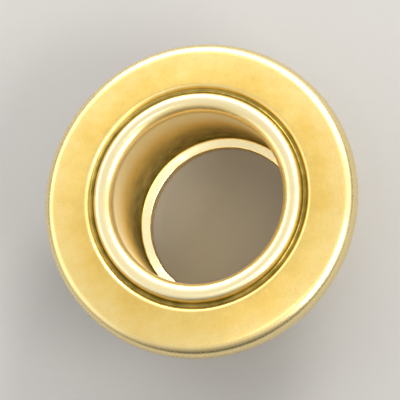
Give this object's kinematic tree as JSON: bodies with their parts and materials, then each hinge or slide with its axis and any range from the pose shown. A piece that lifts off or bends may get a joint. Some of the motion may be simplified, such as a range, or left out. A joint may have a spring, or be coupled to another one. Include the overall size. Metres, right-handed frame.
{
  "type": "grommet eyelet",
  "caption": "Round brass eyelet drawn from sheet: a flange with a turned-down rim, a groove and a raised bead round the mouth, and a plain barrel turned in at its end, before setting.",
  "frame": {"origin": "centre of the barrel's end, on the surface that the eyelet stands on", "axes": "+Z along the axis of the barrel, towards the flange and the mouth of the bore"},
  "size_m": [0.0094, 0.0094, 0.004],
  "materials": {
    "brass": "polished, soft gloss"
  },
  "bodies": {
    "root": {"eyelet": "brass"}
  },
  "joints": []
}
